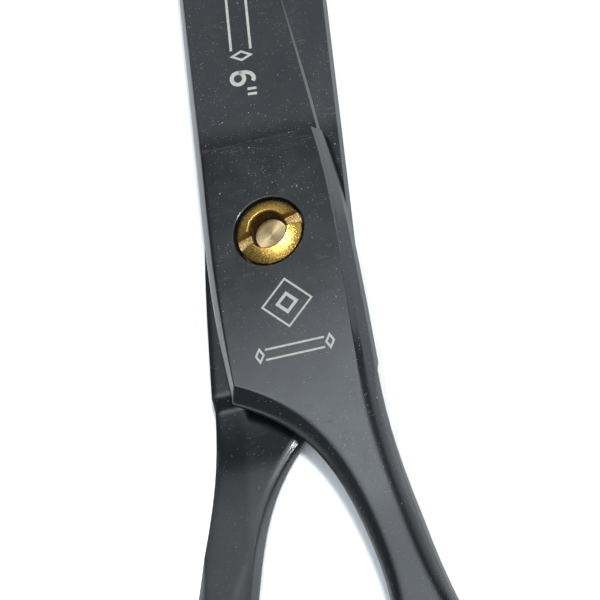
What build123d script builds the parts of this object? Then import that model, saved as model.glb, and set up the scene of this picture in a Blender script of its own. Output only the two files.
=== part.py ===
from build123d import *
import math
import os

# Hair cutting shears, right-handed, 6 inch (152 mm from tip to rings), modelled lying
# slightly open. Both halves turn by half of OPEN_ANGLE, so the blade tips stand apart.
# Origin: on the pivot axis, in the plane of the thumb half's outer face.
# +Y points to the blade tips, +Z is the pivot axis and points to the adjusting nut,
# and +X is on the finger side. The two halves meet in the plane z = MID_Z.

# ---- driving dimensions, mm ----
TIP_Y = 76.0            # pivot axis to blade tips
TIP_X = 4.3             # each blade tip to the centre line, slightly open
OPEN_ANGLE = 6.9        # degrees between the modelled pose and closed shears
HALF_THICK = 3.0        # thickness of each half at the pivot
MID_Z = HALF_THICK      # plane in which the halves meet
TOP_Z = 2 * HALF_THICK  # outer face of the upper half at the pivot
RIDE_GAP = 0.02         # each inner face stands this far from the meeting plane
FINGER_SPINE_X = 7.25   # pivot axis to the back of the finger half's blade
THUMB_SPINE_X = 7.65    # pivot axis to the back of the thumb half's blade

FINGER_INNER_SLIM = 0.9  # the finger shank's inner side is cut back by this, near the ring
THUMB_FLANK_SLIM = 0.8   # the thumb shank's outer side is cut back by this, near the ring
INNER_SLIM_Y = -26.0     # the cut on the inner side starts here
INNER_SLIM_LONG = 13.0   # and is full after this length
FLANK_SLIM_LONG = 35.0   # the cut on the outer side starts at the pivot and is full after this

NOTCH_Y = 10.4          # where the blade grind starts, ahead of the pivot
EDGE_THICK = 0.6        # blade thickness at the top of the cutting bevel
EDGE_BEVEL = 0.2        # width of the cutting bevel
TIP_THICK = 1.0         # blade thickness at the tip
RIDE_END_Y = -15.4      # where the inner face that meets the other half ends
RIDE_STEP = 0.95        # depth of the step behind it
RIDE_STEP_LONG = 1.2    # length over which the step slopes down
DEEP_Y = -45.0          # where the shank reaches the ring's full depth, on the inner side
FALL_Y = -8.0           # where the outer face starts to fall towards the ring
FALL_END_Y = -50.0      # where it reaches the ring's thickness
RING_PROUD = 0.05       # the shank's face lies this far under the ring's highest line
CUT_REACH = 5.0         # how far the cutting outlines reach past the forging
CUT_WIDE = 70.0         # width of the cuts made across the whole forging

RING_X = 20.5           # ring centres, each side of the centre line
RING_Y = -61.0
RING_OUT = 14.8         # ring outer radius
RING_IN = 11.0          # ring inner radius
RING_THICK = 5.2
RING_MID = (RING_OUT + RING_IN) / 2
HANDLE_LOW = MID_Z - RING_THICK / 2
HANDLE_TOP = MID_Z + RING_THICK / 2

SPINE_BEVEL = 1.0       # bevel along the back of the blade
SHOULDER_BEVEL = 1.6    # bevel along the shoulder and the inner side of the shank
FLANK_BEVEL = 1.5       # bevel along the outer side of the shank
FLANK_STEP = 0.45       # depth at which the crown along the shank turns steep
CROWN_STEP = 0.12       # depth at which it leaves the outer face
UNDER_BEVEL = 1.5       # bevels on the inner-face side of the shank
BEVEL_DEEP = 1.3        # depth of the outer-face bevels
RING_ROUND = 1.7        # rounding of the ring's section

STUD_R = 2.5            # pivot stud, plain part
THREAD_R = 1.77         # pivot stud, threaded end
FLANGE_R = 3.5          # stud flange, sunk in the thumb half
FLANGE_THICK = 1.0
FLANGE_FLAT = 2.9       # pivot axis to each flat of the flange, which stop it turning
RUN_FIT = 0.04          # radial clearance of running fits
SEAT_FIT = 0.01         # radial clearance of fixed fits
STUD_CHAMFER = 0.1      # at the stud's threaded end

NUT_R = 3.5
NUT_POCKET_R = 3.72     # counterbore that the nut turns in
NUT_POCKET_Z = 4.2      # its floor
POCKET_CHAMFER = 0.1    # at its rim
NUT_EDGE_Z = 5.9        # top of the nut's outer edge
NUT_RIM_Z = 6.6         # top of its dome, around the central recess
NUT_RECESS_R = 2.0
NUT_LOW_Z = 4.75        # underside of the nut
NUT_CHAMFER = 0.15      # at the edge of its underside
STUD_END_Z = 5.0        # top of the stud's thread, inside the nut
SHANK_END_Z = 4.44      # where the stud's plain part ends and its thread starts
SLOT_WIDE = 1.35
SLOT_FLOOR_Z = 5.4
SLOT_TURN = 16.0        # degrees from +X at rest

DISC_R = 5.5            # glide disc between the halves
DISC_HALF = 0.15        # half its thickness
DISC_CLEAR = 0.02       # clearance above it, in the finger half

WASHER_R = 3.55         # thrust washer under the nut
WASHER_THICK = 0.24
WASHER_LIFT = 0.01      # clearance under it
SPRING_R = 3.4          # spring washer between the thrust washer and the nut
SPRING_THICK = 0.14
SPRING_FIT = 0.1        # radial clearance around the thread

BUSH_R = 3.0            # bush in the finger half's bore
BUSH_LOW_Z = MID_Z + DISC_HALF + DISC_CLEAR

BUMPER_R = 2.2
BUMPER_STEM_R = 1.1
BUMPER_STEM_LONG = 2.6
BUMPER_GAP = 0.1        # bumper to finger ring when closed
BUMPER_PROUD = 4.0      # space between the closed rings, which the bumper fills
BUMPER_SINK = 0.2       # depth of its flat seat at the ring's widest line
BUMPER_ROUND = 0.6      # rounding of its free end

REST_ANGLE = -62.0      # where the finger rest leaves the finger ring, degrees from +X
REST_R = 1.7
REST_BEND = 11.0        # radius of its hook
REST_TURN = 82.0        # degrees that the hook turns
REST_BALL_R = 2.3
REST_STEM_R = 1.2
REST_STEM_LONG = 2.8
REST_COLLAR_R = 2.4     # collar against the ring
REST_COLLAR_LONG = 1.2
REST_SINK = 0.25        # depth of its flat seat at the ring's widest line
SEAT_CUT_R = 2.7        # radius of the seat's facing cut
STEM_SHORT = 0.2        # the stems stop this short of the ends of their holes


def ring_point(angle, radius):
    """A point of the finger ring, at an angle from +X and a radius from its centre."""
    turn = math.radians(angle)
    return (RING_X + radius * math.cos(turn), RING_Y + radius * math.sin(turn))


# ---- the plan form that both halves share, in the finger half's place ----
# Each point is x, y and the share of its side's bevel that is drawn in at the outer face.
# The shoulder and the flank have two more shares, for two lower levels, so that their
# bevels are flat at the pivot and turn into a rounded crown along the shank.
INNER_JOIN = 163.0      # ring angles at which the shank's two sides run into the ring
OUTER_JOIN = 95.0
TIP_BACK = (-TIP_X - 0.4, TIP_Y, 0.3)
BACK = [(-6.35, 62.0, 0.7), (-7.1, 46.5, 1.0)]
HEEL = (-6.0, -17.2, 1.0, 0.88, 0.65)
SHOULDER = [
    HEEL,
    (-2.4, -19.4, 1.0, 0.87, 0.65),
    (0.9, -22.5, 1.05, 0.86, 0.64),
    (3.7, -27.0, 1.2, 0.92, 0.62),
    (5.7, -33.5, 1.3, 1.0, 0.6),
    (6.9, -41.0, 1.2, 0.95, 0.6),
    (6.8, -48.0, 0.9, 0.7, 0.45),
    (6.5, -53.0, 0.6, 0.5, 0.3),
]
FLANK = [
    (15.6, -45.0, 0.9, 0.75, 0.45),
    (13.8, -41.0, 1.15, 0.92, 0.5),
    (11.3, -31.8, 1.3, 0.97, 0.5),
    (9.6, -22.5, 1.15, 0.92, 0.48),
    (8.9, -14.0, 1.0, 0.86, 0.5),
    (8.2, -3.5, 0.75, 0.69, 0.49),
    (7.4, 4.5, 0.6, 0.55, 0.39),
    (6.4, NOTCH_Y, 0.5, 0.46, 0.32),
]
EDGE = [
    (5.85, NOTCH_Y + 0.9, 1.0),
    (5.2, 16.0, 1.0),
    (3.5, 26.5, 1.0),
    (0.2, 48.0, 0.8),
    (0.3 - TIP_X, TIP_Y - 0.4, 0.2),
]


def ramp(distance, full):
    """Nothing before the start, rising evenly to one at the full distance."""
    return min(1, max(0, distance) / full)


def inset(points, width, column=2):
    """Points moved into the plan form, each by its own share of a width."""
    moved = []
    for index, point in enumerate(points):
        before = points[max(index - 1, 0)]
        after = points[min(index + 1, len(points) - 1)]
        run = math.hypot(after[0] - before[0], after[1] - before[1])
        step = width * point[column] / run
        moved.append((point[0] + step * (before[1] - after[1]), point[1] + step * (after[0] - before[0])))
    return moved


def crossing(point, first, first_width, second, second_width):
    """Where two offset lines cross; first and second are the unit vectors into the plan form."""
    det = first[0] * second[1] - first[1] * second[0]
    shift_x = (first_width * second[1] - second_width * first[1]) / det
    shift_y = (second_width * first[0] - first_width * second[0]) / det
    return (point[0] + shift_x, point[1] + shift_y)


def plan_form(height, widths, spine_x, inner_slim, flank_slim, column=2):
    """One closed section of a half, square to the pivot, with its sides drawn in by widths."""
    back_width, shoulder_width, flank_width, edge_width = widths
    back = inset([TIP_BACK, *BACK, (-spine_x, 26.0, 1.0), (-spine_x, 25.0, 1.0)], back_width)
    ricasso = inset([(-spine_x, 2.0, 1.0), (0.15 - spine_x, -5.0, 1.0), HEEL], back_width)
    slimmer = [
        (x + inner_slim * ramp(INNER_SLIM_Y - y, INNER_SLIM_LONG), y, *shares)
        for x, y, *shares in SHOULDER
    ]
    shoulder = inset(slimmer, shoulder_width, column)
    closer = [
        (x - flank_slim * ramp(-y, FLANK_SLIM_LONG), y, *shares)
        for x, y, *shares in FLANK
    ]
    flank = inset(closer, flank_width, column)
    edge = inset(EDGE, edge_width)
    heel_width = shoulder_width * HEEL[column]
    heel = crossing(HEEL, (0.97, 0.24), back_width, (0.52, 0.85), heel_width)
    inner_end = ring_point(INNER_JOIN - math.degrees(shoulder_width / RING_MID), RING_MID)
    outer_end = ring_point(OUTER_JOIN + math.degrees(flank_width / RING_MID), RING_MID)
    with BuildSketch(Plane.XY.offset(height)) as section:
        with BuildLine():
            Spline(back[:-1], tangents=[(-0.2, -1), (0, -1)])
            Line(back[-2], ricasso[0])
            Spline(ricasso[0], ricasso[1], heel)
            Spline(heel, *shoulder[1:], inner_end)
            RadiusArc(inner_end, outer_end, RING_MID)
            Spline(outer_end, *flank)
            Line(flank[-1], edge[0])
            Spline(edge)
            Line(edge[-1], back[0])
        make_face()
    return section.sketch


def forging(spine_x, inner_slim, flank_slim):
    """Blade, shank and ring in one piece, in the finger half's place."""
    shape = (spine_x, inner_slim, flank_slim)

    def under(width):
        return (0, width, width, 0)

    def over(depth):
        back_width = SPINE_BEVEL * (1 - depth / BEVEL_DEEP)
        return (back_width, SHOULDER_BEVEL, FLANK_BEVEL, EDGE_BEVEL)

    levels = [
        plan_form(HANDLE_LOW, under(UNDER_BEVEL), *shape),
        plan_form(HANDLE_LOW + UNDER_BEVEL, under(0), *shape),
        plan_form(MID_Z, under(0), *shape),
        plan_form(MID_Z + EDGE_THICK, (0, 0, 0, EDGE_BEVEL), *shape),
        plan_form(TOP_Z - BEVEL_DEEP, (0, 0, 0, EDGE_BEVEL), *shape),
        plan_form(TOP_Z - FLANK_STEP, over(FLANK_STEP), *shape, column=4),
        plan_form(TOP_Z - CROWN_STEP, over(CROWN_STEP), *shape, column=3),
        plan_form(TOP_Z, over(0), *shape),
    ]
    with BuildPart() as half:
        for lower, upper in zip(levels, levels[1:]):
            loft([lower, upper], ruled=True)

        # the inner side: the flat that meets the other half, the step behind it,
        # and the hollow curve by which the shank deepens towards the ring
        ride_end = (RIDE_END_Y, MID_Z + RIDE_GAP)
        step_foot = (RIDE_END_Y - RIDE_STEP_LONG, MID_Z + RIDE_STEP)
        hollow = [(-22.0, MID_Z + 0.7), (-33.0, MID_Z - 1.2)]
        deepest = (DEEP_Y, HANDLE_LOW)
        under_deepest = (DEEP_Y, HANDLE_LOW - CUT_REACH)
        under_tip = (TIP_Y + CUT_REACH, HANDLE_LOW - CUT_REACH)
        past_tip = (TIP_Y + CUT_REACH, MID_Z + RIDE_GAP)
        with BuildSketch(Plane.YZ.offset(-CUT_WIDE / 2)):
            with BuildLine():
                Polyline(past_tip, ride_end, step_foot)
                Spline(step_foot, *hollow, deepest)
                Polyline(deepest, under_deepest, under_tip, past_tip)
            make_face()
        extrude(amount=CUT_WIDE, mode=Mode.SUBTRACT)

        # the outer face falls away in a long curve towards the ring
        fall_start = (FALL_Y, TOP_Z)
        fall_bend = (-22.0, TOP_Z - 0.12)
        fall_end = (FALL_END_Y, HANDLE_TOP - RING_PROUD)
        past_ring = (RING_Y - RING_OUT - CUT_REACH, HANDLE_TOP - RING_PROUD)
        over_ring = (RING_Y - RING_OUT - CUT_REACH, TOP_Z + CUT_REACH)
        over_start = (FALL_Y, TOP_Z + CUT_REACH)
        with BuildSketch(Plane.YZ.offset(-CUT_WIDE / 2)):
            with BuildLine():
                Spline(fall_start, fall_bend, fall_end, tangents=[(-1, 0), (-1, -0.01)])
                Polyline(fall_end, past_ring, over_ring, over_start, fall_start)
            make_face()
        extrude(amount=CUT_WIDE, mode=Mode.SUBTRACT)

        # the grind: the blade thins from its back to its cutting edge, and towards the tip
        grind_start = (SPINE_BEVEL - spine_x, NOTCH_Y, TOP_Z)
        grind_right = (5.9, NOTCH_Y, MID_Z + EDGE_THICK)
        grind_tip = (-TIP_X, TIP_Y, MID_Z + TIP_THICK)
        across = Vector(*grind_right) - Vector(*grind_start)
        along = Vector(*grind_tip) - Vector(*grind_start)
        grind = Plane(origin=grind_start, x_dir=across, z_dir=across.cross(along))
        with BuildSketch(grind):
            Rectangle(CUT_WIDE, TIP_Y + CUT_REACH, align=(Align.CENTER, Align.MIN))
        extrude(amount=CUT_REACH, mode=Mode.SUBTRACT)

        # the ring
        with BuildSketch(Plane.XZ.offset(-RING_Y)):
            with Locations((RING_X + RING_MID, MID_Z)):
                RectangleRounded(RING_OUT - RING_IN, RING_THICK, RING_ROUND)
        revolve(axis=Axis((RING_X, RING_Y, 0), (0, 0, 1)))

    return half.part


def finish(name, builder):
    """Label one finished piece and write it to its own file."""
    builder.part.label = name
    export_step(builder.part, f"parts/{name}.step")
    print(name, len(builder.part.solids()), round(builder.part.volume, 2))


os.makedirs("parts", exist_ok=True)
PIVOT = Axis((0, 0, 0), (0, 0, 1))
rest_turn = math.radians(REST_ANGLE)
rest_out = Vector(math.cos(rest_turn), math.sin(rest_turn), 0)
ring_centre = Vector(RING_X, RING_Y, MID_Z)
rest_seat = Plane(origin=ring_centre + rest_out * (RING_OUT - REST_SINK), x_dir=(0, 0, 1), z_dir=rest_out)
bumper_turn = math.radians(-OPEN_ANGLE / 2)
bumper_out = Vector(math.cos(bumper_turn), math.sin(bumper_turn), 0)
thumb_centre = Vector(-RING_X, RING_Y, MID_Z)
bumper_seat = Plane(
    origin=thumb_centre + bumper_out * (RING_OUT - BUMPER_SINK), x_dir=(0, 0, 1), z_dir=bumper_out
)

# ---- finger half: the upper blade, its handle goes to +X ----
with BuildPart() as finger_half:
    add(forging(FINGER_SPINE_X, FINGER_INNER_SLIM, 0))
    with Locations((0, 0, NUT_POCKET_Z)):
        Cylinder(
            NUT_POCKET_R,
            TOP_Z,
            align=(Align.CENTER, Align.CENTER, Align.MIN),
            mode=Mode.SUBTRACT,
        )
    pocket_rim = finger_half.edges().filter_by(GeomType.CIRCLE).sort_by(Axis.Z)[-1]
    chamfer(pocket_rim, POCKET_CHAMFER)
    with Locations((0, 0, MID_Z)):
        Cylinder(BUSH_R + SEAT_FIT, HALF_THICK, mode=Mode.SUBTRACT)
        Cylinder(DISC_R + RUN_FIT, 2 * (DISC_HALF + DISC_CLEAR), mode=Mode.SUBTRACT)
    # flat seat and hole of the finger rest
    with BuildSketch(rest_seat):
        Circle(SEAT_CUT_R)
    extrude(amount=SEAT_CUT_R, mode=Mode.SUBTRACT)
    with BuildSketch(rest_seat):
        Circle(REST_STEM_R + SEAT_FIT)
    extrude(amount=-REST_STEM_LONG, mode=Mode.SUBTRACT)
finish("finger_half", finger_half)

# ---- thumb half: the same forging turned over, its handle goes to -X ----
with BuildPart() as thumb_half:
    add(forging(THUMB_SPINE_X, 0, THUMB_FLANK_SLIM).rotate(Axis((0, 0, MID_Z), (0, 1, 0)), 180))
    with Locations((0, 0, MID_Z / 2)):
        Cylinder(STUD_R + SEAT_FIT, MID_Z + 1, mode=Mode.SUBTRACT)
    with Locations((0, 0, MID_Z)):
        Cylinder(DISC_R + SEAT_FIT, 2 * DISC_HALF, mode=Mode.SUBTRACT)
    # flat-sided pocket of the stud's flange
    with BuildSketch():
        Circle(FLANGE_R + SEAT_FIT)
        Rectangle(4 * FLANGE_R, 2 * (FLANGE_FLAT + SEAT_FIT), mode=Mode.INTERSECT)
    extrude(amount=FLANGE_THICK, mode=Mode.SUBTRACT)
    # flat seat and hole of the bumper
    with BuildSketch(bumper_seat):
        Circle(SEAT_CUT_R)
    extrude(amount=SEAT_CUT_R, mode=Mode.SUBTRACT)
    with BuildSketch(bumper_seat):
        Circle(BUMPER_STEM_R + SEAT_FIT)
    extrude(amount=-BUMPER_STEM_LONG, mode=Mode.SUBTRACT)
finish("thumb_half", thumb_half)

# ---- pivot stud: flat-sided flange, plain shank, threaded end ----
with BuildPart() as pivot_stud:
    with BuildSketch():
        Circle(FLANGE_R)
        Rectangle(4 * FLANGE_R, 2 * FLANGE_FLAT, mode=Mode.INTERSECT)
    extrude(amount=FLANGE_THICK)
    with BuildSketch():
        Circle(STUD_R)
    extrude(amount=SHANK_END_Z)
    with BuildSketch(Plane.XY.offset(SHANK_END_Z)):
        Circle(THREAD_R)
    extrude(amount=STUD_END_Z - SHANK_END_Z)
    chamfer(pivot_stud.edges().sort_by(Axis.Z)[-1], STUD_CHAMFER)
finish("pivot_stud", pivot_stud)

# ---- glide disc: thin plastic bearing between the halves ----
with BuildPart() as glide_disc:
    with BuildSketch(Plane.XY.offset(MID_Z - DISC_HALF)):
        Circle(DISC_R)
        Circle(STUD_R + RUN_FIT, mode=Mode.SUBTRACT)
    extrude(amount=2 * DISC_HALF)
finish("glide_disc", glide_disc)

# ---- pivot bush: bearing sleeve pressed into the finger half ----
with BuildPart() as pivot_bush:
    with BuildSketch(Plane.XY.offset(BUSH_LOW_Z)):
        Circle(BUSH_R)
        Circle(STUD_R + RUN_FIT, mode=Mode.SUBTRACT)
    extrude(amount=NUT_POCKET_Z - SEAT_FIT - BUSH_LOW_Z)
finish("pivot_bush", pivot_bush)

# ---- thrust washer: flat, on the floor of the nut's pocket ----
with BuildPart() as thrust_washer:
    with BuildSketch(Plane.XY.offset(NUT_POCKET_Z + WASHER_LIFT)):
        Circle(WASHER_R)
        Circle(STUD_R + RUN_FIT, mode=Mode.SUBTRACT)
    extrude(amount=WASHER_THICK)
finish("thrust_washer", thrust_washer)

# ---- spring washer: a shallow cone, highest at its hole ----
spring_low = NUT_POCKET_Z + WASHER_LIFT + WASHER_THICK
spring_top = NUT_LOW_Z
spring_hole = THREAD_R + SPRING_FIT
with BuildPart() as spring_washer:
    with BuildSketch(Plane.XZ):
        with BuildLine():
            Polyline(
                (spring_hole, spring_top - SPRING_THICK),
                (spring_hole, spring_top),
                (SPRING_R, spring_low + SPRING_THICK),
                (SPRING_R, spring_low),
                close=True,
            )
        make_face()
    revolve(axis=PIVOT)
finish("spring_washer", spring_washer)

# ---- tension nut: domed ring nut with a slot across it ----
nut_bore = THREAD_R + RUN_FIT
under_inner = (nut_bore, NUT_LOW_Z)
under_outer = (NUT_R - NUT_CHAMFER, NUT_LOW_Z)
side_low = (NUT_R, NUT_LOW_Z + NUT_CHAMFER)
side_top = (NUT_R, NUT_EDGE_Z - 0.12)
dome = (NUT_R - 0.55, NUT_EDGE_Z + 0.3)
rim = (NUT_RECESS_R + 0.12, NUT_RIM_Z)
rim_inner = (NUT_RECESS_R, NUT_RIM_Z - 0.1)
recess_foot = (nut_bore, STUD_END_Z)
with BuildPart() as tension_nut:
    with BuildSketch(Plane.XZ):
        with BuildLine():
            Polyline(under_inner, under_outer, side_low, side_top)
            ThreePointArc(side_top, dome, rim)
            Polyline(rim, rim_inner, recess_foot, under_inner)
        make_face()
    revolve(axis=PIVOT)
    with BuildSketch(Plane.XY.offset(SLOT_FLOOR_Z)):
        Rectangle(3 * NUT_R, SLOT_WIDE, rotation=SLOT_TURN)
    extrude(amount=NUT_RIM_Z, mode=Mode.SUBTRACT)
finish("tension_nut", tension_nut)

# ---- ring bumper: rubber stop pushed into the thumb ring ----
bumper_long = BUMPER_PROUD + BUMPER_SINK - BUMPER_GAP
with BuildPart() as ring_bumper:
    with BuildSketch(bumper_seat):
        Circle(BUMPER_R)
    extrude(amount=bumper_long)
    fillet(ring_bumper.edges().sort_by(Axis.X)[-1], BUMPER_ROUND)
    with BuildSketch(bumper_seat):
        Circle(BUMPER_STEM_R)
    extrude(amount=-(BUMPER_STEM_LONG - STEM_SHORT))
finish("ring_bumper", ring_bumper)

# ---- finger rest: hook with a collar and a stem screwed into the finger ring ----
hook_start = rest_seat.origin
hook_side = Vector(-rest_out.Y, rest_out.X, 0)
hook_centre = hook_start + hook_side * REST_BEND
hook_angle = math.radians(REST_ANGLE - 90 + REST_TURN)
hook_end = hook_centre + Vector(math.cos(hook_angle), math.sin(hook_angle), 0) * REST_BEND
hook_mid_angle = math.radians(REST_ANGLE - 90 + REST_TURN / 2)
hook_mid = hook_centre + Vector(math.cos(hook_mid_angle), math.sin(hook_mid_angle), 0) * REST_BEND
with BuildPart() as finger_rest:
    with BuildLine():
        ThreePointArc(hook_start, hook_mid, hook_end)
    with BuildSketch(rest_seat):
        Circle(REST_R)
    sweep()
    with Locations(hook_end):
        Sphere(REST_BALL_R)
    with BuildSketch(rest_seat):
        Circle(REST_COLLAR_R)
    extrude(amount=REST_COLLAR_LONG)
    with BuildSketch(rest_seat):
        Circle(REST_STEM_R)
    extrude(amount=-(REST_STEM_LONG - STEM_SHORT))
finish("finger_rest", finger_rest)
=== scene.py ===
import math

import bmesh
import bpy
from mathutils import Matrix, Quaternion, Vector
from mathutils.bvhtree import BVHTree


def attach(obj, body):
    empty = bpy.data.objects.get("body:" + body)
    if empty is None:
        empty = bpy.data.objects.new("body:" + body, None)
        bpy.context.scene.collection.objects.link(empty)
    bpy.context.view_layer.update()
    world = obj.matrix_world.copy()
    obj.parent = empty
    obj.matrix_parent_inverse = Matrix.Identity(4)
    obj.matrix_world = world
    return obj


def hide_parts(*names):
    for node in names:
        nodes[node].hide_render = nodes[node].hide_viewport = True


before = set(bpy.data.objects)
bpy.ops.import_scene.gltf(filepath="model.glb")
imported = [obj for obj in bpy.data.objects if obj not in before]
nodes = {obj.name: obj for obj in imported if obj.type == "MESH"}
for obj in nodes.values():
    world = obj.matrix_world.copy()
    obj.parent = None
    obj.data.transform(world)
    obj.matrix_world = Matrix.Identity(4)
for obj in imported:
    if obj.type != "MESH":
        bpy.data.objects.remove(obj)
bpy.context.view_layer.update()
MM = 0.001

# ---- sizes, mm, in the frame's own axes ----
MID_Z = 3.0             # plane in which the halves meet
TOP_Z = 6.0             # outer face of the upper half at the pivot
RING_X = 20.5           # ring centres, each side of the centre line
RING_Y = -61.0
RING_CENTRE = Vector((RING_X, RING_Y, MID_Z))
THUMB_CENTRE = Vector((-RING_X, RING_Y, MID_Z))
RING_OUT = 14.8         # ring outer radius
NOTCH_Y = 10.4          # where the blade grind starts, ahead of the pivot

REST_ANGLE = math.radians(-62.0)    # the way that the finger rest leaves its ring
REST_SINK = 0.25        # the collar's seat lies this far inside the ring's outline
REST_BEND = 11.0        # radius of the hook's bend
REST_TURN = math.radians(82.0)      # length of the bend
REST_R = 1.7
REST_BALL_R = 2.3
REST_COLLAR_R = 2.4
REST_STEM_R = 1.2

BUMPER_TURN = math.radians(-3.45)   # the way that the bumper points, half the opening angle
BUMPER_SINK = 0.2
BUMPER_LONG = 4.1
BUMPER_R = 2.2
BUMPER_STEM_R = 1.1
STEM_GAP = 0.02         # each stem is this much slimmer than its hole

NUT_R = 3.5
SLOT_TURN = math.radians(16.0)      # the slot's direction, from +X
SLOT_HALF = 0.675       # half width of the slot
SLOT_FLOOR_Z = 5.4
RECESS_R = 2.0          # recess in the middle of the nut
POCKET_R = 3.72         # the finger half's pocket around the nut
POCKET_LOW_Z = 4.2      # its floor

MARK_LIFT = 0.012       # the printed marks stand this far above the coating

# ---- camera: close view of the pivot, from above the handles ----
CAMERA_PLACE = Vector((97.7, -168.1, 355.7)) * MM
CAMERA_AIM = Vector((2.48, -8.26, 6.0)) * MM
CAMERA_ROLL = math.radians(-40.4)
CAMERA_LENS = 237.6


def make_camera():
    data = bpy.data.cameras.new("camera")
    data.lens = CAMERA_LENS
    data.sensor_width = 36.0
    data.clip_start = 0.01
    camera = bpy.data.objects.new("camera", data)
    bpy.context.scene.collection.objects.link(camera)
    camera.location = CAMERA_PLACE
    turn = (CAMERA_AIM - CAMERA_PLACE).to_track_quat("-Z", "Y")
    camera.rotation_mode = "QUATERNION"
    camera.rotation_quaternion = turn @ Quaternion((0, 0, 1), CAMERA_ROLL)
    bpy.context.scene.camera = camera


make_camera()


# ---- light: three soft panels, a small key for the nut, and a dim room; metres and watts ----
PIVOT = Vector((0, 0, 0))
OVERHEAD = Vector((-0.011, -0.152, 0.7))
ROOM_LEVEL = 0.18
ROOM_TINT = (0.84, 0.93, 1.0, 1)


def softbox(name, place, size, power, tint, aim=PIVOT, turn=0.0):
    """A rectangular panel that faces its aim, turned by some degrees about its own axis."""
    data = bpy.data.lights.new(name, "AREA")
    data.shape = "RECTANGLE"
    data.size, data.size_y = size
    data.energy = power
    data.color = tint
    light = bpy.data.objects.new(name, data)
    bpy.context.scene.collection.objects.link(light)
    light.location = place
    light.rotation_mode = "QUATERNION"
    facing = (Vector(aim) - Vector(place)).to_track_quat("-Z", "Y")
    light.rotation_quaternion = facing @ Quaternion((0, 0, 1), math.radians(turn))


def make_world():
    world = bpy.data.worlds.new("room")
    bpy.context.scene.world = world
    world.use_nodes = True
    sky = world.node_tree.nodes["Background"]
    sky.inputs["Color"].default_value = ROOM_TINT
    sky.inputs["Strength"].default_value = ROOM_LEVEL


def make_lights():
    below = Vector((OVERHEAD.x, OVERHEAD.y, 0))
    softbox("overhead", OVERHEAD, (0.44, 0.95), 3.4, (0.87, 0.94, 1.0), aim=below, turn=25)
    softbox("right_panel", (0.9, 0.25, 0.3), (0.9, 0.6), 1.5, (0.82, 0.91, 1.0))
    softbox("back_panel", (-0.15, 0.66, 0.42), (0.7, 0.4), 0.75, (0.92, 0.96, 1.0))
    softbox("key", (0.29, -0.055, 0.88), (0.11, 0.11), 9.0, (1.0, 0.98, 0.95))


make_world()
make_lights()
bpy.context.scene.view_settings.view_transform = "Standard"


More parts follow.
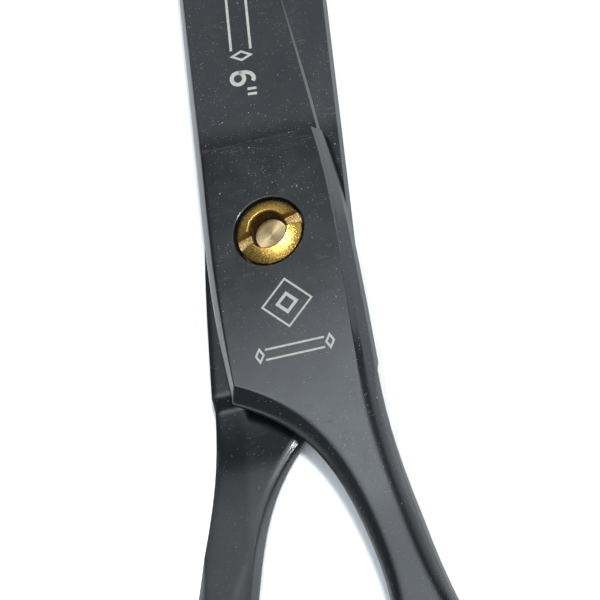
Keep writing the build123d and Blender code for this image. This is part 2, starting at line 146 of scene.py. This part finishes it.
# ---- materials ----
class Look:
    """A node material around one Principled shader, in millimetre object coordinates."""

    def __init__(self, name, metallic=0.0):
        self.material = bpy.data.materials.new(name)
        self.material.use_nodes = True
        self.tree = self.material.node_tree
        self.shader = self.tree.nodes["Principled BSDF"]
        self.shader.inputs["Metallic"].default_value = metallic
        place = self.node("ShaderNodeTexCoord").outputs["Object"]
        per_metre = 1 / MM
        self.mm = self.stretch(place, (per_metre, per_metre, per_metre))
        self.height = None

    def node(self, kind, **settings):
        made = self.tree.nodes.new(kind)
        for key, value in settings.items():
            setattr(made, key, value)
        return made

    def put(self, socket, value):
        if isinstance(value, bpy.types.NodeSocket):
            self.tree.links.new(value, socket)
        else:
            socket.default_value = value

    def stretch(self, place, factors, turn=0.0):
        """Coordinates turned about Z and then stretched."""
        made = self.node("ShaderNodeMapping")
        self.put(made.inputs["Vector"], place)
        made.inputs["Rotation"].default_value = (0, 0, turn)
        made.inputs["Scale"].default_value = factors
        return made.outputs["Vector"]

    def noise(self, scale, detail=3.0, rough=0.5, distort=0.0, place=None):
        made = self.node("ShaderNodeTexNoise")
        self.put(made.inputs["Vector"], place or self.mm)
        made.inputs["Scale"].default_value = scale
        made.inputs["Detail"].default_value = detail
        made.inputs["Roughness"].default_value = rough
        made.inputs["Distortion"].default_value = distort
        return made.outputs["Fac"]

    def cells(self, scale, place=None):
        """Distance to the nearest of many scattered points, and a random value of that point."""
        made = self.node("ShaderNodeTexVoronoi")
        self.put(made.inputs["Vector"], place or self.mm)
        made.inputs["Scale"].default_value = scale
        split = self.node("ShaderNodeSeparateColor")
        self.put(split.inputs["Color"], made.outputs["Color"])
        return made.outputs["Distance"], split.outputs["Red"]

    def span(self, value, low, high, start=0.0, end=1.0):
        """A value's smooth rise from start to end while it goes from low to high."""
        made = self.node("ShaderNodeMapRange", interpolation_type="SMOOTHSTEP")
        self.put(made.inputs["Value"], value)
        self.put(made.inputs["From Min"], low)
        self.put(made.inputs["From Max"], high)
        made.inputs["To Min"].default_value = start
        made.inputs["To Max"].default_value = end
        return made.outputs["Result"]

    def maths(self, operation, first, second=0.0):
        made = self.node("ShaderNodeMath", operation=operation)
        self.put(made.inputs[0], first)
        self.put(made.inputs[1], second)
        return made.outputs[0]

    def times(self, *values):
        result = values[0]
        for value in values[1:]:
            result = self.maths("MULTIPLY", result, value)
        return result

    def most(self, *values):
        result = values[0]
        for value in values[1:]:
            result = self.maths("MAXIMUM", result, value)
        return result

    def parts_of(self, vector):
        made = self.node("ShaderNodeSeparateXYZ")
        self.put(made.inputs[0], vector)
        return made.outputs

    def blend(self, share, first, second):
        """Colour that goes from the first to the second with the share."""
        made = self.node("ShaderNodeMix", data_type="RGBA")
        self.put(made.inputs["Factor"], share)
        sockets = [socket for socket in made.inputs if socket.type == "RGBA"]
        for socket, colour in zip(sockets, (first, second)):
            linked = isinstance(colour, bpy.types.NodeSocket)
            self.put(socket, colour if linked else (*colour, 1))
        return [socket for socket in made.outputs if socket.type == "RGBA"][0]

    def spot(self, centre, radius, soft):
        """One inside a sphere, falling to nothing over its soft edge."""
        made = self.node("ShaderNodeVectorMath", operation="DISTANCE")
        self.put(made.inputs[0], self.mm)
        made.inputs[1].default_value = centre
        return self.span(made.outputs["Value"], radius, radius + soft, 1.0, 0.0)

    def specks(self, scale, size, share, crowd=None):
        """Small scattered grains; crowd is a value that says where they gather."""
        soft = 0.02
        outline = self.node("ShaderNodeTexNoise")
        self.put(outline.inputs["Vector"], self.mm)
        outline.inputs["Scale"].default_value = 4.0 * scale
        shift = self.node("ShaderNodeVectorMath", operation="SCALE")
        self.put(shift.inputs[0], outline.outputs["Color"])
        shift.inputs["Scale"].default_value = 0.25 / scale
        uneven = self.node("ShaderNodeVectorMath", operation="ADD")
        self.put(uneven.inputs[0], self.mm)
        self.put(uneven.inputs[1], shift.outputs["Vector"])
        distance, chance = self.cells(scale, uneven.outputs["Vector"])
        edge = self.times(chance, size * scale)
        near = self.span(self.maths("SUBTRACT", distance, edge), -soft, soft, 1.0, 0.0)
        crowded = share if crowd is None else self.times(crowd, share)
        spare = self.maths("SUBTRACT", 1.0, crowded)
        kept = self.span(self.maths("SUBTRACT", chance, spare), 0, soft)
        return self.times(near, kept)

    def off(self, value, middle):
        """How far a value is from the middle one, either way."""
        return self.maths("ABSOLUTE", self.maths("SUBTRACT", value, middle))

    def scratches(self, turn, fine, width, seed):
        """Thin nearly straight lines along one direction, in broken lengths."""
        lines = self.noise(fine, 2.0, 0.5, 0.0, self.stretch(self.mm, (0.05, 1, 1), turn))
        breaks = self.noise(0.35 + seed, 2.0, 0.6, 0.5)
        line = self.span(self.off(lines, 0.5), 0, width, 1, 0)
        return self.times(line, self.span(breaks, 0.55, 0.64))

    def from_axis(self, x, y):
        """Distance from the pivot axis."""
        return self.maths("SQRT", self.maths("ADD", self.times(x, x), self.times(y, y)))

    def raise_by(self, value, height):
        """Add a value to the surface's fine relief; height is in millimetres."""
        step = self.times(value, height)
        self.height = step if self.height is None else self.maths("ADD", self.height, step)

    def finish(self, soft=None):
        """Link the relief, on edges softened by a small radius in millimetres."""
        bump = self.node("ShaderNodeBump")
        bump.inputs["Distance"].default_value = MM
        self.put(bump.inputs["Height"], self.height)
        if soft is not None:
            edge = self.node("ShaderNodeBevel", samples=12)
            radius = soft * MM if isinstance(soft, float) else self.times(soft, MM)
            self.put(edge.inputs["Radius"], radius)
            self.put(bump.inputs["Normal"], edge.outputs["Normal"])
        self.put(self.shader.inputs["Normal"], bump.outputs["Normal"])
        return self.material


def cutting_strip(look, y, z, normal_x):
    """One on the bare ground strip of each cutting bevel, which narrows and dims to the tip."""
    from_mid = look.maths("SUBTRACT", z, MID_Z)
    outward = look.span(look.times(normal_x, look.maths("SIGN", from_mid)), 0.45, 0.55)
    # how far the strip reaches above the meeting plane: it flares at the notch, then narrows
    flare = look.span(y, 10.6, 12.2, 0.9, 0.3)
    height = look.most(look.span(y, 12.0, 36.0, 0.58, 0.36), flare)
    past = look.maths("SUBTRACT", look.maths("ABSOLUTE", from_mid), height)
    low = look.span(past, 0.0, 0.05, 1.0, 0.0)
    ahead = look.span(y, NOTCH_Y + 0.1, NOTCH_Y + 0.3)
    return look.times(outward, low, ahead, look.span(y, NOTCH_Y, 32.0, 0.6, 0.1))


def fine_dust(look, clouds):
    """Grains in three sizes, gathered in clouds."""
    gather = look.span(clouds, 0.38, 0.66, 0.25, 1.0)
    sizes = ((1.1, 0.07, 0.12, 0.5), (3.0, 0.045, 0.12, 0.45), (6.0, 0.03, 0.25, 0.35))
    grains = []
    for scale, size, share, strength in sizes:
        grains.append(look.times(look.specks(scale, size, share, gather), strength))
    return look.most(*grains)


def fine_scratches(look):
    """Scratches in three directions; each is its angle, fineness, width, seed and strength."""
    sets = ((55, 2.2, 0.007, 0.0, 1.0), (-42, 3.1, 0.006, 0.07, 0.6), (80, 2.6, 0.005, 0.13, 0.5))
    lines = []
    for angle, fine, width, seed, strength in sets:
        lines.append(look.times(look.scratches(math.radians(angle), fine, width, seed), strength))
    return look.most(*lines)


def notch_stain(look, x, y):
    """A thin brown trace across the blade, where the grind starts."""
    return look.times(
        look.span(look.off(y, NOTCH_Y - 0.1), 0.02, 0.22, 1, 0),
        look.span(look.noise(0.6, 4.0, 0.6), 0.42, 0.62),
        look.span(x, 4.5, 6.0, 1.0, 0.0),
    )


def coated_steel():
    """Satin black coating on steel, ground bare along the cutting edges, dusty and scratched."""
    look = Look("coated_steel")
    shader = look.shader
    x, y, z = look.parts_of(look.mm)[:3]
    geometry = look.node("ShaderNodeNewGeometry")
    normal_x, _, normal_z = look.parts_of(geometry.outputs["True Normal"])[:3]

    bare = cutting_strip(look, y, z, normal_x)
    clouds = look.noise(0.12, 3.0, 0.6)
    dust = fine_dust(look, clouds)
    lint = look.specks(0.9, 0.09, 0.12)
    scratch = fine_scratches(look)
    around_nut = look.spot((0, 0, TOP_Z), NUT_R + 3.0, 2.0)
    scuff = look.times(look.span(look.noise(1.7, 6.0, 0.75, 1.2), 0.60, 0.72), around_nut)
    stain = notch_stain(look, x, y)

    # a thin film from handling, on the blade and on the thumb half's shank
    thumb_side = look.span(x, -1.0, 1.0, 1.0, 0.0)
    thumb_shank = look.times(look.span(y, -30.0, -21.0, 1.0, 0.0), thumb_side)
    film = look.most(look.span(y, NOTCH_Y, NOTCH_Y + 3.0), thumb_shank)
    film = look.times(film, look.span(clouds, 0.25, 0.75, 0.85, 1.0))

    tone = look.blend(look.noise(0.5, 5.0, 0.6), (0.0036, 0.0041, 0.0049), (0.006, 0.0066, 0.0076))
    for share, colour in (
        (look.times(stain, 0.75), (0.026, 0.017, 0.012)),
        (look.times(scuff, 0.3), (0.06, 0.062, 0.064)),
        (look.times(scratch, 0.22), (0.07, 0.07, 0.07)),
        (look.times(lint, 0.8), (0.07, 0.035, 0.018)),
        (dust, (0.42, 0.42, 0.41)),
        (look.times(film, 0.06), (0.36, 0.38, 0.41)),
    ):
        tone = look.blend(share, tone, colour)
    steel = look.blend(look.noise(3.0, 3.0, 0.6), (0.62, 0.63, 0.64), (0.8, 0.8, 0.8))
    look.put(shader.inputs["Base Color"], look.blend(bare, tone, steel))
    look.put(shader.inputs["Metallic"], bare)

    # matt in the nut's pocket, on upright walls and where hands hold the thumb half
    upright = look.span(look.maths("ABSOLUTE", normal_z), 0.12, 0.27, 1.0, 0.0)
    inside = look.span(look.from_axis(x, y), POCKET_R + 0.04, POCKET_R + 0.08, 1.0, 0.0)
    pocket = look.times(inside, look.span(z, POCKET_LOW_Z - 0.3, POCKET_LOW_Z - 0.1))
    smudge = look.span(look.noise(0.22, 5.0, 0.62, 0.6), 0.35, 0.7, 0.15, 0.19)
    handled = look.times(look.span(y, -25.0, -20.0, 0.33, 0.0), thumb_side)
    rough = look.most(
        smudge,
        look.times(dust, 0.8),
        look.times(scratch, 0.35),
        look.times(scuff, 0.3),
        look.times(bare, 0.3),
        look.times(pocket, 0.8),
        look.times(upright, 0.42),
        handled,
    )
    look.put(shader.inputs["Roughness"], rough)

    # the shine is lower there, along the back near the heel, and on the finger half's shank
    shine = look.span(clouds, 0.2, 0.8, 0.95, 1.0)
    matt = look.span(look.most(pocket, look.times(upright, 0.8)), 0, 1, 1, 0.2)
    spine = look.times(look.span(x, -6.6, -5.0, 1.0, 0.0), look.span(y, -20.0, 24.0, 1.0, 0.0))
    finger_shank = look.times(look.span(y, -36.0, -27.0, 1.0, 0.0), look.span(x, 4.0, 8.0))
    dull = look.times(look.span(spine, 0, 1, 1, 0.6), look.span(finger_shank, 0, 1, 1, 0.72))
    look.put(shader.inputs["Specular IOR Level"], look.times(shine, matt, dull))

    look.raise_by(look.noise(9.0, 3.0, 0.5), 0.0007)
    look.raise_by(look.noise(0.8, 2.0, 0.5), 0.0012)
    look.raise_by(dust, 0.01)
    look.raise_by(scratch, -0.002)
    look.raise_by(scuff, -0.001)
    edge_radius = look.most(look.span(y, -22.0, -14.0, 1.5, 0.1), look.span(x, -6.6, -5.0, 0.9, 0.1))
    return look.finish(soft=edge_radius)


def gold_brass():
    """Gold-coloured nut with a grainy cast skin, worn pale in its slot, with painted shade on the walls
    of its slot and recess.
    """
    look = Look("gold_brass", metallic=1.0)
    shader = look.shader
    x, y, z = look.parts_of(look.mm)[:3]
    turned = look.stretch(look.mm, (1, 1, 1), -SLOT_TURN)
    across = look.maths("ABSOLUTE", look.parts_of(turned)[1])
    wall_near = SLOT_HALF - 0.015
    wall_far = SLOT_HALF + 0.015
    floor_wide = look.span(across, wall_near, wall_far, 1, 0)
    in_slot = look.times(floor_wide, look.span(z, SLOT_FLOOR_Z + 0.2, SLOT_FLOOR_Z + 0.3, 1, 0))
    inside = look.span(look.from_axis(x, y), RECESS_R - 0.05, RECESS_R + 0.06, 1.0, 0.0)
    off_floor = look.span(across, wall_near - 0.02, wall_near)
    off_face = look.span(across, wall_far, wall_far + 0.02, 1, 0)
    walls = look.times(off_floor, off_face, 0.9)
    patches = look.span(look.noise(2.2, 5.0, 0.7), 0.32, 0.6, 0.82, 1.0)
    # painted shade: the recess wall and the slot walls are coloured dark brown, in faint patches, and
    # made rougher
    painted_shade = look.times(look.most(inside, walls), patches)
    grain = look.noise(11.0, 4.0, 0.7)
    pits = look.span(look.noise(7.0, 3.0, 0.6), 0.6, 0.72)
    lines = look.noise(3.0, 3.0, 0.6, 0.0, look.stretch(look.mm, (0.25, 7, 1), -SLOT_TURN))

    tone = look.blend(look.span(grain, 0.3, 0.7), (0.42, 0.25, 0.055), (0.80, 0.51, 0.13))
    tone = look.blend(look.times(in_slot, look.span(lines, 0.4, 0.6)), tone, (0.42, 0.33, 0.19))
    tone = look.blend(look.times(pits, 0.5), tone, (0.12, 0.07, 0.03))
    # the dark brown of the painted shade in the recess and on the slot walls
    tone = look.blend(painted_shade, tone, (0.045, 0.026, 0.013))
    look.put(shader.inputs["Base Color"], tone)
    rough = look.span(grain, 0.3, 0.7, 0.13, 0.32)
    look.put(shader.inputs["Roughness"], look.most(rough, look.times(painted_shade, 0.7)))
    look.raise_by(grain, 0.02)
    look.raise_by(look.noise(5.0, 3.0, 0.6), 0.03)
    look.raise_by(look.times(lines, in_slot), 0.02)
    look.raise_by(pits, -0.01)
    return look.finish(soft=0.12)


def turned_steel(name, tones, roughs, pitch):
    """Bare metal with fine rings from turning, light wear and small stains."""
    look = Look(name, metallic=1.0)
    shader = look.shader
    x, y, z = look.parts_of(look.mm)[:3]
    rings = look.node("ShaderNodeTexNoise", noise_dimensions="1D")
    look.put(rings.inputs["W"], look.maths("ADD", look.from_axis(x, y), z))
    rings.inputs["Scale"].default_value = pitch
    rings.inputs["Detail"].default_value = 3.0
    ring = rings.outputs["Fac"]
    stains = look.span(look.noise(0.9, 5.0, 0.65), 0.52, 0.72)
    scratch = look.scratches(math.radians(20), 3.0, 0.012, 0.1)
    tone = look.blend(look.span(ring, 0.3, 0.7), *tones)
    tone = look.blend(look.times(stains, 0.45), tone, (0.12, 0.09, 0.06))
    look.put(shader.inputs["Base Color"], tone)
    rough = look.span(ring, 0.3, 0.7, *roughs)
    look.put(shader.inputs["Roughness"], look.most(rough, look.times(stains, 0.55)))
    tangent = look.node("ShaderNodeTangent", direction_type="RADIAL", axis="Z")
    look.put(shader.inputs["Tangent"], tangent.outputs["Tangent"])
    shader.inputs["Anisotropic"].default_value = 0.75
    look.raise_by(ring, 0.0015)
    look.raise_by(look.noise(5.0, 3.0, 0.6), 0.012)
    look.raise_by(scratch, -0.006)
    return look.finish(soft=0.05)


def moulded(name, tones, roughs, grain_scale, grain_height):
    """Moulded plastic or rubber with a fine skin, smoother rubbed patches and caught dust."""
    look = Look(name)
    shader = look.shader
    skin = look.noise(grain_scale, 3.0, 0.6)
    rubbed = look.span(look.noise(0.6, 4.0, 0.6, 0.4), 0.45, 0.68)
    dust = look.specks(3.0, 0.1, 0.4)
    tone = look.blend(look.most(look.times(skin, 0.6), rubbed), *tones)
    tone = look.blend(look.times(dust, 0.6), tone, (0.5, 0.49, 0.46))
    look.put(shader.inputs["Base Color"], tone)
    look.put(shader.inputs["Roughness"], look.span(rubbed, 0, 1, *roughs))
    look.raise_by(skin, grain_height)
    look.raise_by(dust, 0.02)
    return look.finish(soft=0.05)


def mark_print():
    """Pale grey print with flecks where it is worn."""
    look = Look("mark_print")
    shader = look.shader
    fleck = look.noise(6.0, 4.0, 0.7)
    tone = look.blend(look.span(fleck, 0.35, 0.65), (0.24, 0.235, 0.22), (0.38, 0.375, 0.355))
    look.put(shader.inputs["Base Color"], tone)
    look.put(shader.inputs["Roughness"], look.span(fleck, 0.3, 0.7, 0.45, 0.7))
    look.raise_by(fleck, 0.004)
    return look.finish()


def floor_cloth():
    """Plain pale floor with a fine weave."""
    look = Look("floor_cloth")
    shader = look.shader
    weave = look.node("ShaderNodeTexWave", wave_type="BANDS")
    look.put(weave.inputs["Vector"], look.mm)
    weave.inputs["Scale"].default_value = 0.45
    weave.inputs["Distortion"].default_value = 1.5
    weave.inputs["Detail"].default_value = 2.0
    threads = look.most(weave.outputs["Fac"], look.noise(1.5, 3.0, 0.6))
    look.put(shader.inputs["Base Color"], look.blend(threads, (0.75, 0.775, 0.80), (0.80, 0.825, 0.85)))
    look.put(shader.inputs["Roughness"], look.span(threads, 0, 1, 0.9, 0.8))
    look.raise_by(threads, 0.03)
    return look.finish()


COATED = coated_steel()
GOLD = gold_brass()
STUD = turned_steel("stud_steel", ((0.36, 0.27, 0.14), (0.5, 0.39, 0.22)), (0.24, 0.4), 14.0)
BRONZE = turned_steel("bush_bronze", ((0.32, 0.19, 0.09), (0.55, 0.36, 0.2)), (0.28, 0.45), 6.0)
SPRING = turned_steel("spring_steel", ((0.2, 0.22, 0.26), (0.42, 0.44, 0.48)), (0.2, 0.35), 4.0)
PLASTIC = moulded("glide_plastic", ((0.55, 0.53, 0.48), (0.72, 0.7, 0.65)), (0.5, 0.3), 5.0, 0.003)
RUBBER = moulded("bumper_rubber", ((0.010, 0.010, 0.011), (0.03, 0.03, 0.031)), (0.8, 0.55), 8.0, 0.008)
PRINT = mark_print()

node_looks = {
    "finger_half": COATED,
    "thumb_half": COATED,
    "pivot_stud": STUD,
    "tension_nut": GOLD,
    "glide_disc": PLASTIC,
    "thrust_washer": PLASTIC,
    "pivot_bush": BRONZE,
    "spring_washer": SPRING,
}
for name, material in node_looks.items():
    node = nodes[name]
    node.data.materials.clear()
    node.data.materials.append(material)


# ---- pieces in mesh code ----
def add_piece(name, bm, material, body, replaced=None):
    """A new object that rides a body, in place of a node if one is named."""
    mesh = bpy.data.meshes.new(name)
    bm.normal_update()
    bm.to_mesh(mesh)
    bm.free()
    mesh.materials.append(material)
    piece = bpy.data.objects.new(name, mesh)
    bpy.context.scene.collection.objects.link(piece)
    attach(piece, body)
    if replaced:
        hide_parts(replaced)


def swept(stations, side, around):
    """Skin of round sections; each station is a centre, a direction and a radius, in mm."""
    bm = bmesh.new()
    rows = []
    for centre, direction, radius in stations:
        across = direction.cross(side).normalized()
        row = []
        for step in range(around):
            turn = 2 * math.pi * step / around
            offset = across * math.cos(turn) + side * math.sin(turn)
            row.append(bm.verts.new((centre + offset * radius) * MM))
        rows.append(row)
    for first, second in zip(rows, rows[1:]):
        for step in range(around):
            after = (step + 1) % around
            bm.faces.new((first[step], first[after], second[after], second[step]))
    bm.faces.new(list(reversed(rows[0])))
    bm.faces.new(rows[-1])
    bmesh.ops.recalc_face_normals(bm, faces=bm.faces)
    for face in bm.faces:
        face.smooth = len(face.verts) == 4
    return bm


UP = Vector((0, 0, 1))


def stem(long, radius, tip_radius):
    """Profile of a stem with a chamfered end, up to its piece's seat at 0."""
    slim = radius - STEM_GAP
    return [(-long, tip_radius), (0.1 - long, slim), (0.0, slim)]


def rest_profile(long):
    """Distance along the hook and radius there: stem, collar, neck, taper and ball."""
    collar = REST_COLLAR_R
    neck_end = 3.2
    profile = stem(long=2.6, radius=REST_STEM_R, tip_radius=0.9)
    profile += [(0.0, collar - 0.25), (0.1, collar - 0.08), (0.3, collar)]
    profile += [(0.8, collar), (1.05, collar - 0.1), (1.25, collar - 0.4)]
    profile += [(1.45, REST_R - 0.05), (1.7, REST_R - 0.25), (2.2, REST_R - 0.2), (neck_end, REST_R)]
    ball_from = long - 2.1
    taper_steps = 24
    for step in range(1, taper_steps + 1):
        share = step / taper_steps
        radius = REST_R - 0.35 * math.sin(math.pi * share * 0.9)
        profile.append((neck_end + (ball_from - neck_end) * share, radius))
    # the ball starts where its radius is that of the taper's end
    foot = math.sqrt(REST_BALL_R ** 2 - profile[-1][1] ** 2)
    ball_turn = math.acos(-foot / REST_BALL_R)
    ball_steps = 19
    for step in range(ball_steps):
        turn = ball_turn * (1 - step / ball_steps)
        profile.append((long + REST_BALL_R * math.cos(turn), REST_BALL_R * math.sin(turn)))
    return profile


def finger_rest():
    """Tapered hook with a rounded collar, a slim neck and a ball that blends into its end."""
    out = Vector((math.cos(REST_ANGLE), math.sin(REST_ANGLE), 0))
    side = Vector((-out.y, out.x, 0))
    start = RING_CENTRE + out * (RING_OUT - REST_SINK)
    centre = start + side * REST_BEND
    long = REST_BEND * REST_TURN
    stations = []
    for distance, radius in rest_profile(long):
        if distance < 0:
            stations.append((start + out * distance, out, radius))
            continue
        turn = min(distance, long) / REST_BEND
        spoke = -side * math.cos(turn) + out * math.sin(turn)
        heading = out * math.cos(turn) + side * math.sin(turn)
        place = centre + spoke * REST_BEND + heading * max(0, distance - long)
        stations.append((place, heading, radius))
    return swept(stations, UP, around=40)


def bumper():
    """Rubber stop with two shallow grooves and a rounded, slightly hollow end."""
    long = BUMPER_LONG
    wide = BUMPER_R
    deep = 0.16         # depth of a groove
    end_round = 0.6
    profile = stem(long=2.4, radius=BUMPER_STEM_R, tip_radius=0.8)
    profile += [(0.0, wide - 0.12), (0.12, wide)]
    for groove in (1.15, 2.1):
        profile += [(groove - 0.28, wide), (groove - 0.2, wide - 0.04)]
        profile += [(groove - 0.12, wide - deep), (groove + 0.12, wide - deep)]
        profile += [(groove + 0.2, wide - 0.04), (groove + 0.28, wide)]
    round_steps = 9
    for step in range(round_steps):
        turn = math.pi / 2 * step / round_steps
        ahead = long - end_round + end_round * math.sin(turn)
        profile.append((ahead, wide - end_round + end_round * math.cos(turn)))
    profile += [(long - 0.01, wide - 0.75), (long - 0.1, 0.9), (long - 0.12, 0.3)]
    heading = Vector((math.cos(BUMPER_TURN), math.sin(BUMPER_TURN), 0))
    seat = THUMB_CENTRE + heading * (RING_OUT - BUMPER_SINK)
    stations = [(seat + heading * distance, heading, radius) for distance, radius in profile]
    return swept(stations, UP, around=48)


add_piece("finger_rest_hook", finger_rest(), COATED, "finger_side", "finger_rest")
add_piece("bumper_body", bumper(), RUBBER, "thumb_side", "ring_bumper")


# ---- printed marks: thin shapes laid on the finger half's outer face ----
def face_finder():
    mesh = nodes["finger_half"].data
    corners = [vertex.co.copy() for vertex in mesh.vertices]
    return BVHTree.FromPolygons(corners, [tuple(face.vertices) for face in mesh.polygons])


FACE = face_finder()
ABOVE = 20              # mm; higher than any part of the shears


def lay(x, y):
    """The point of the outer face over x, y, lifted by the print's thickness."""
    hit = FACE.ray_cast(Vector((x, y, ABOVE)) * MM, -UP)[0]
    return hit + Vector((0, 0, MARK_LIFT * MM))


SHARPEST = 0.4          # keeps the mitre of a very sharp corner short


def strip(bm, line, width, closed=False):
    """A flat strip of one width along a line of x, y points, with mitred corners."""
    count = len(line)
    rows = []
    for index, point in enumerate(line):
        here = Vector(point)
        before = Vector(line[index - 1]) if index or closed else here
        after = Vector(line[(index + 1) % count]) if index < count - 1 or closed else here
        into = (here - before).normalized() if before != here else (after - here).normalized()
        out = (after - here).normalized() if after != here else into
        normal_in = Vector((-into.y, into.x))
        normal = (normal_in + Vector((-out.y, out.x))).normalized()
        reach = width / 2 / max(SHARPEST, normal.dot(normal_in))
        left = here + normal * reach
        right = here - normal * reach
        rows.append((bm.verts.new(lay(left.x, left.y)), bm.verts.new(lay(right.x, right.y))))
    last = count if closed else count - 1
    for index in range(last):
        first = rows[index]
        second = rows[(index + 1) % count]
        bm.faces.new((first[0], first[1], second[1], second[0]))


def lozenge(x, y, half_x, half_y):
    """The four corners of a lozenge around x, y."""
    return [(x + half_x, y), (x, y + half_y), (x - half_x, y), (x, y - half_y)]


def arc_line(centre_x, centre_y, radius_x, radius_y, start, end, steps):
    """Points along an arc of an ellipse, from one angle in degrees to another."""
    line = []
    for step in range(steps + 1):
        turn = math.radians(start + (end - start) * step / steps)
        line.append((centre_x + radius_x * math.cos(turn), centre_y + radius_y * math.sin(turn)))
    return line


def fine(line, step=0.5, closed=False):
    """The same line with points no more than a step apart."""
    ends = list(zip(line, line[1:]))
    if closed:
        ends.append((line[-1], line[0]))
    points = []
    for (x0, y0), (x1, y1) in ends:
        count = max(1, math.ceil(math.hypot(x1 - x0, y1 - y0) / step))
        for index in range(count):
            share = index / count
            points.append((x0 + (x1 - x0) * share, y0 + (y1 - y0) * share))
    if not closed:
        points.append(line[-1])
    return points


SIZE_LEFT_X = -2.55     # feet of the size mark's figure
SIZE_TOP_Y = 19.1       # where its first figure starts; it reads towards the pivot
SIZE_SCALE = 0.88
SIZE_LINE = 0.42
INCH_LINE = 0.3
INCH_TOP = 2.9          # ends of the inch mark's two strokes, before they are scaled
INCH_LOW = 1.85

ORNAMENT = (1.1, -8.2)  # middle of the ornament
SHORT_LINE_Y = -13.3
STRIPE_X = -1.2


def size_mark():
    """The figure 6 and its inch mark, for the length of the shears."""
    bm = bmesh.new()
    # drawn upright with u to the right and v up, then turned to read towards the pivot
    bowl = arc_line(0.95, 0.88, 0.78, 0.72, 0, 360, 24)[:-1]
    back = [(0.17, 0.95)] + arc_line(1.05, 1.55, 0.88, 1.17, 170, 62, 10)

    def turned(points):
        return [(SIZE_LEFT_X + v * SIZE_SCALE, SIZE_TOP_Y - u * SIZE_SCALE) for u, v in points]

    strip(bm, turned(bowl), SIZE_LINE, closed=True)
    strip(bm, turned(back), SIZE_LINE)
    for u in (2.45, 3.15):
        strip(bm, turned([(u, INCH_TOP), (u, INCH_LOW)]), INCH_LINE)
    return bm


def ornament():
    """A lozenge in a lozenge, between the nut and the crotch."""
    bm = bmesh.new()
    for reach, width in ((2.6, 0.2), (1.0, 0.34)):
        strip(bm, fine(lozenge(*ORNAMENT, reach, reach), closed=True), width, closed=True)
    return bm


def short_line():
    """A short double rule with a lozenge at each end, under the ornament."""
    bm = bmesh.new()
    for shift in (-0.55, 0.55):
        y = SHORT_LINE_Y + shift
        strip(bm, fine([(-1.7, y), (4.5, y)]), 0.22)
    for x in (-2.3, 5.1):
        strip(bm, lozenge(x, SHORT_LINE_Y, 0.4, 0.7), 0.22, closed=True)
    return bm


def pinstripe():
    """A long double rule along the blade, with lozenge ends."""
    bm = bmesh.new()
    for shift in (-1.0, 1.0):
        x = STRIPE_X + shift
        strip(bm, fine([(x, 21.6), (x, 33.0)]), 0.26)
    for y in (20.9, 33.7):
        strip(bm, lozenge(STRIPE_X, y, 0.95, 0.5), 0.24, closed=True)
    return bm


marks = {
    "size_mark": size_mark,
    "ornament_mark": ornament,
    "line_mark": short_line,
    "stripe_mark": pinstripe,
}
for name, shape in marks.items():
    add_piece(name, shape(), PRINT, "finger_side")


# ---- floor ----
FLOOR_HALF = 1.5        # metres


def floor():
    bm = bmesh.new()
    bmesh.ops.create_grid(bm, x_segments=2, y_segments=2, size=FLOOR_HALF)
    mesh = bpy.data.meshes.new("floor")
    bm.to_mesh(mesh)
    bm.free()
    mesh.materials.append(floor_cloth())
    ground = bpy.data.objects.new("floor", mesh)
    bpy.context.scene.collection.objects.link(ground)


floor()
